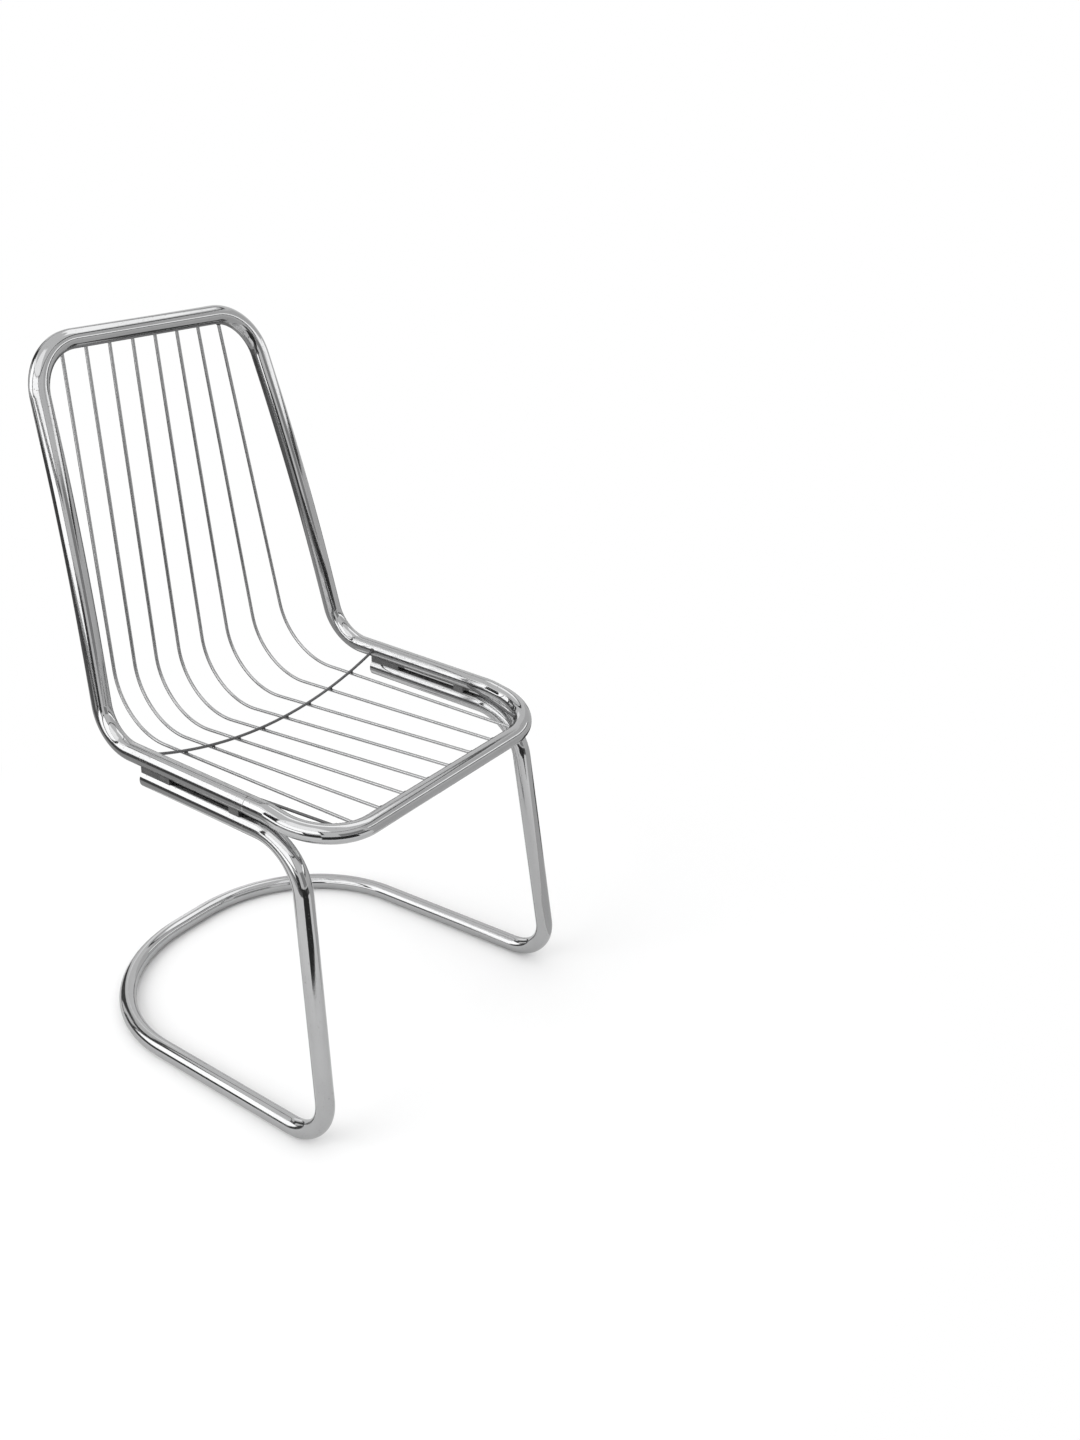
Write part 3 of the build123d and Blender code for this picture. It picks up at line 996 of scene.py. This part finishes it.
def stay_ends(tubes, wires, side, node):
    """Ends of a corner stay's axis, the front one where the CAD stay goes into the corner's wall."""
    reach = tubes.tube_diameter / 2 + wires.thin_wire_diameter / 2 + wires.touch_gap
    inward = sqrt(reach**2 - wires.stay_start_rise**2)
    start = Vector(
        (
            side * (tubes.seat_half_width - inward),
            wires.stay_start_y,
            rail_height(tubes, wires.stay_start_y) + wires.stay_start_rise,
        )
    )
    end = Vector(
        (
            side * (tubes.seat_half_width - wires.stay_end_inset),
            wires.stay_end_y,
            front_rail_height(tubes) + wires.stay_end_rise,
        )
    )
    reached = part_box(node)[0].y - wires.weld_bite
    return start, start.lerp(end, (reached - start.y) / (end.y - start.y))


class CHAIR_OT_corner_stays(bpy.types.Operator):
    """Build the short wires inside the front corners"""

    bl_idname = "chair.corner_stays"
    bl_label = "Corner Stays"

    def execute(self, context):
        tubes, wires = context.scene.chair_tubes, context.scene.chair_wires
        for side, name in ((-1, "right"), (1, "left")):
            start, end = stay_ends(tubes, wires, side, f"stay_{name}")
            thin_wire(context, f"corner_stay_{name}", [(start, 0), (end, 0)], f"stay_{name}")
        return {"FINISHED"}


def bead_joints(tubes, wires, welds):
    """Where each weld bead sits, which way it faces and its size."""
    end_size = (welds.end_bead_width, welds.end_bead_width, welds.end_bead_height)
    crossing_size = (welds.crossing_bead_width, welds.crossing_bead_width, welds.crossing_bead_height)
    joints = []
    for index in range(wires.wire_count):
        top, corner, front, top_axis, front_axis = top_and_front(tubes, wires, index)
        for end, axis in ((top, top_axis), (front, front_axis)):
            out = Vector((0, end.y - axis.y, end.z - axis.z)).normalized()
            joints.append((end + out * wires.weld_bite, out, end_size))
        low = crossing_height(tubes, wires, corner.x)
        between = Vector((corner.x, wires.cross_y, low + wires.wire_diameter / 2))
        joints.append((between, Vector((0, 0, 1)), crossing_size))
    end, axis = cross_wire_end(tubes, wires)
    for side in (-1, 1):
        out = Vector((side * (axis.x - end.x), 0, end.z - axis.z)).normalized()
        at = Vector((-side * end.x, end.y, end.z)) + out * wires.weld_bite
        joints.append((at, out, end_size))
    for side, name in ((-1, "right"), (1, "left")):
        start, end = stay_ends(tubes, wires, side, f"stay_{name}")
        back = (start - end).normalized()
        spot = start - back * welds.end_bead_width / 2
        axis = Vector((side * tubes.seat_half_width, spot.y, rail_height(tubes, spot.y)))
        out = (spot - axis).normalized()
        joints.append((axis + out * tubes.tube_diameter / 2, out, end_size))
        joints.append((end + back * wires.weld_bite, back, end_size))
    return joints


class CHAIR_OT_weld_beads(bpy.types.Operator):
    """Build the weld beads at the wires' ends and crossings"""

    bl_idname = "chair.weld_beads"
    bl_label = "Weld Beads"

    def execute(self, context):
        scene, welds = context.scene, context.scene.chair_welds
        places, facings, sizes = zip(*bead_joints(scene.chair_tubes, scene.chair_wires, welds))
        joints = mesh_object("weld_beads", places)
        for name, vectors in (("facing", facings), ("bead_size", sizes)):
            values = [number for vector in vectors for number in vector]
            joints.data.attributes.new(name, "FLOAT_VECTOR", "POINT").data.foreach_set("vector", values)
        piece = shaped(
            joints,
            bead_tree(),
            segments=welds.segments,
            rings=welds.rings,
            unevenness=welds.unevenness,
            seed=welds.seed,
            finish=weld_material(scene.chair_finishes),
        )
        belongs(piece)
        return {"FINISHED"}


class CHAIR_OT_fittings(bpy.types.Operator):
    """Finish the pads, spigots, bushes, screws, washers and plugs"""

    bl_idname = "chair.fittings"
    bl_label = "Fittings"

    def execute(self, context):
        finishes = context.scene.chair_finishes
        pads, steel = pad_material(finishes), steel_material(finishes)
        fixings, plugs = fixing_material(finishes), plug_material(finishes)
        finish_of = {
            "rear_pad_left": pads, "rear_pad_right": pads, "front_pad_left": pads, "front_pad_right": pads,
            "spigot_left": steel, "spigot_right": steel, "bushes": steel,
            "screws": fixings, "washers": fixings, "end_plugs": plugs,
        }
        for node, material in finish_of.items():
            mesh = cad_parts[node].data
            mesh.materials.clear()
            mesh.materials.append(material)
        return {"FINISHED"}


def floor_material(settings):
    """Pale floor near the chair, plain white further off."""
    material, graph = new_material("Chair Floor")
    far = graph.node("ShaderNodeVectorMath", {0: graph.own_place()}, operation="LENGTH").out("Value")
    reach = settings.floor_fade_end - settings.floor_fade_start
    fade = ((far - settings.floor_fade_start) / reach).clamped()
    ray = graph.node("ShaderNodeLightPath")
    seen = ray.out("Is Camera Ray") + ray.out("Is Glossy Ray") + ray.out("Is Transmission Ray")
    tone = graph.mixed(ray.out("Is Glossy Ray"), full(settings.floor), full(settings.mirrored_floor))
    pale = graph.node("ShaderNodeBsdfDiffuse", {"Color": tone})
    white = graph.node("ShaderNodeEmission", {"Color": pure_white, "Strength": 1.0})
    whiteness = fade * fade * (3 - 2 * fade) * seen.clamped()
    mix = graph.node("ShaderNodeMixShader", {0: whiteness, 1: pale, 2: white})
    graph.node("ShaderNodeOutputMaterial", {"Surface": mix})
    return material


# Room that only the chrome shows: name, azimuths in degrees, reaches and heights in metres, brightness
room_cards = (
    ("room_ceiling", (0, 360), (0.0, 3.1), (3.5, 3.5), 0.88),
    ("bright_ceiling", (120, 152), (2.3, 3.1), (3.45, 3.45), 1.6),
    ("bright_ceiling_left", (157, 245), (0.6, 3.1), (3.44, 3.44), 1.5),
    ("bright_ceiling_side", (-35, 45), (1.2, 2.5), (3.45, 3.45), 1.7),
    ("room_wall", (0, 360), (3.1, 3.1), (0.0, 3.5), 0.86),
    ("room_cornice", (157, 471), (3.05, 3.05), (3.2, 3.5), 0.06),
    ("room_skirting", (0, 360), (3.05, 3.05), (0.0, 0.16), 0.03),
    ("room_floor", (0, 360), (1.4, 3.1), (0.002, 0.002), 0.14),
    ("room_floor_pale", (-75, 10), (0.36, 3.1), (0.004, 0.004), 0.60),
    ("room_floor_side", (-30, 25), (0.60, 0.95), (0.005, 0.005), 0.06),
    ("room_floor_dark", (-139, -94), (0.80, 3.1), (0.004, 0.004), 0.04),
    ("room_floor_grey", (60, 152), (0.45, 1.4), (0.003, 0.003), 0.42),
    ("room_floor_light", (158, 192), (1.4, 3.1), (0.003, 0.003), 0.50),
    ("room_floor_back", (8, 62), (0.42, 1.4), (0.003, 0.003), 0.26),
    ("doorway", (76, 95), (2.95, 2.95), (0.14, 2.3), 0.08),
    ("window_frame", (111, 157), (2.97, 2.97), (0.70, 3.4), 0.03),
    ("window", (116, 152), (2.95, 2.95), (0.85, 3.25), 2.0),
    ("dresser", (104, 148), (2.3, 2.3), (0.0, 0.60), 0.08),
    ("side_window_frame", (155, 228), (2.98, 2.98), (1.2, 3.42), 0.03),
    ("side_window", (159, 224), (2.96, 2.96), (1.32, 3.3), 1.9),
    ("curtain", (94, 110), (2.93, 2.93), (1.7, 3.1), 0.05),
    ("low_window_frame", (147, 202), (2.97, 2.97), (0.25, 1.15), 0.03),
    ("low_window", (151, 198), (2.95, 2.95), (0.35, 1.05), 2.0),
    ("chest", (-160, -138), (2.2, 2.2), (0.0, 0.72), 0.06),
    ("post", (-114, -80), (2.6, 2.6), (0.3, 1.3), 0.34),
    ("panel", (-75, 10), (2.8, 2.8), (0.0, 2.6), 0.68),
    ("panel_line", (-72, -14), (2.76, 2.76), (0.75, 1.0), 0.06),
    ("panel_strip", (-72, -14), (2.75, 2.75), (1.0, 1.35), 1.7),
    ("panel_trim", (-62, -31), (2.75, 2.75), (2.75, 3.25), 0.05),
    ("bright_wall", (50, 64), (2.9, 2.9), (0.0, 2.0), 1.3),
)


def stage_piece(scene, name, corners, faces, material):
    """A mesh that stands round the chair and isn't part of it."""
    piece = mesh_object(name, corners, faces=faces)
    piece.data.materials.append(material)
    scene.collection.objects.link(piece)
    return piece


def glow_material(name, brightness):
    """An even white glow."""
    material, graph = new_material(name)
    glow = graph.node("ShaderNodeEmission", {"Color": pure_white, "Strength": brightness})
    graph.node("ShaderNodeOutputMaterial", {"Surface": glow})
    return material


def reflection_card(scene, name, azimuths, reaches, heights, brightness):
    """A card that lies or stands round the chair from one azimuth to another, and only reflections show."""
    start, end = azimuths
    steps = max(2, round((end - start) / card_step))
    corners = []
    for step in range(steps + 1):
        around = radians(start + (end - start) * step / steps)
        for reach, height in zip(reaches, heights):
            corners.append((reach * cos(around), reach * sin(around), height))
    faces = [(i, i + 2, i + 3, i + 1) for i in range(0, 2 * steps, 2)]
    card = stage_piece(scene, name, corners, faces, glow_material(name, brightness))
    card.visible_camera = False
    card.visible_diffuse = False
    card.visible_shadow = False


def studio_floor(scene, settings):
    """A pale square floor."""
    half, low = settings.floor_half_side, -settings.floor_gap
    corners = [(-half, -half, low), (half, -half, low), (half, half, low), (-half, half, low)]
    stage_piece(scene, "studio_floor", corners, [(0, 1, 2, 3)], floor_material(settings))


def white_world(scene):
    """An even white world."""
    world = bpy.data.worlds.new("Chair Studio")
    world.use_nodes = True
    graph = Graph(world.node_tree)
    sky = graph.node("ShaderNodeBackground", {"Color": pure_white, "Strength": 1.0})
    graph.node("ShaderNodeOutputWorld", {"Surface": sky})
    scene.world = world


def soft_lamp(scene, settings):
    """A square lamp beside the chair that the chrome doesn't show."""
    lamp = bpy.data.lights.new("window_softbox", "AREA")
    lamp.shape = "RECTANGLE"
    lamp.size = settings.lamp_side
    lamp.size_y = settings.lamp_side
    lamp.energy = settings.lamp_power
    softbox = bpy.data.objects.new("window_softbox", lamp)
    softbox.location = settings.lamp_place
    ahead = Vector(settings.lamp_target) - softbox.location
    softbox.rotation_euler = ahead.to_track_quat("-Z", "Y").to_euler()
    softbox.visible_camera = False
    softbox.visible_glossy = False
    scene.collection.objects.link(softbox)


def photo_camera(scene, settings):
    """A camera at the photograph's viewing angle."""
    yaw, pitch, roll = settings.yaw, settings.pitch, settings.roll
    ahead = Vector((-sin(yaw) * cos(pitch), cos(yaw) * cos(pitch), sin(pitch)))
    level = Vector((cos(yaw), sin(yaw), 0))
    above = level.cross(ahead)
    right = level * cos(roll) + above * sin(roll)
    turn = Matrix((right, right.cross(ahead), -ahead)).transposed()
    eye = bpy.data.cameras.new("photo_camera")
    eye.sensor_fit = "HORIZONTAL"
    eye.sensor_width = sensor_width_mm
    eye.lens = sensor_width_mm * settings.focal_pixels / photo_width_pixels
    camera = bpy.data.objects.new("photo_camera", eye)
    camera.matrix_world = Matrix.Translation(settings.eye) @ turn.to_4x4()
    scene.collection.objects.link(camera)
    scene.camera = camera


class CHAIR_OT_stage(bpy.types.Operator):
    """Build the floor, the room that the chrome mirrors, the light and the camera"""

    bl_idname = "chair.stage"
    bl_label = "Stage"

    def execute(self, context):
        scene, settings = context.scene, context.scene.chair_stage
        studio_floor(scene, settings)
        white_world(scene)
        for card in room_cards:
            reflection_card(scene, *card)
        soft_lamp(scene, settings)
        photo_camera(scene, settings)
        scene.view_settings.view_transform = "Standard"
        return {"FINISHED"}


class CHAIR_PT_sidebar(bpy.types.Panel):
    """Sizes, finishes and pieces of the chair"""

    bl_label = "Wire Sling Chair"
    bl_space_type = "VIEW_3D"
    bl_region_type = "UI"
    bl_category = "Chair"

    def draw(self, context):
        for operator in operators:
            self.layout.operator(operator.bl_idname)
        for name in groups:
            settings = getattr(context.scene, name)
            box = self.layout.box()
            for key in settings.__annotations__:
                box.prop(settings, key)


groups = {
    "chair_tubes": ChairTubeSizes,
    "chair_wires": ChairWireSizes,
    "chair_welds": ChairWeldSizes,
    "chair_finishes": ChairFinishes,
    "chair_stage": ChairStageSettings,
}
operators = (
    CHAIR_OT_seat_frame,
    CHAIR_OT_base,
    CHAIR_OT_long_wires,
    CHAIR_OT_cross_wire,
    CHAIR_OT_corner_stays,
    CHAIR_OT_weld_beads,
    CHAIR_OT_fittings,
    CHAIR_OT_stage,
)


def register():
    """Add the classes and the settings."""
    for name, group in groups.items():
        bpy.utils.register_class(group)
        setattr(bpy.types.Scene, name, PointerProperty(type=group))
    for operator in operators:
        bpy.utils.register_class(operator)
    bpy.utils.register_class(CHAIR_PT_sidebar)


def unregister():
    """Take the classes and the settings away."""
    bpy.utils.unregister_class(CHAIR_PT_sidebar)
    for operator in reversed(operators):
        bpy.utils.unregister_class(operator)
    for name, group in groups.items():
        delattr(bpy.types.Scene, name)
        bpy.utils.unregister_class(group)


def main():
    """Build the chair's looks."""
    register()
    bpy.ops.chair.seat_frame()
    bpy.ops.chair.base()
    bpy.ops.chair.long_wires()
    bpy.ops.chair.cross_wire()
    bpy.ops.chair.corner_stays()
    bpy.ops.chair.weld_beads()
    bpy.ops.chair.fittings()
    bpy.ops.chair.stage()


if __name__ == "__main__":
    main()
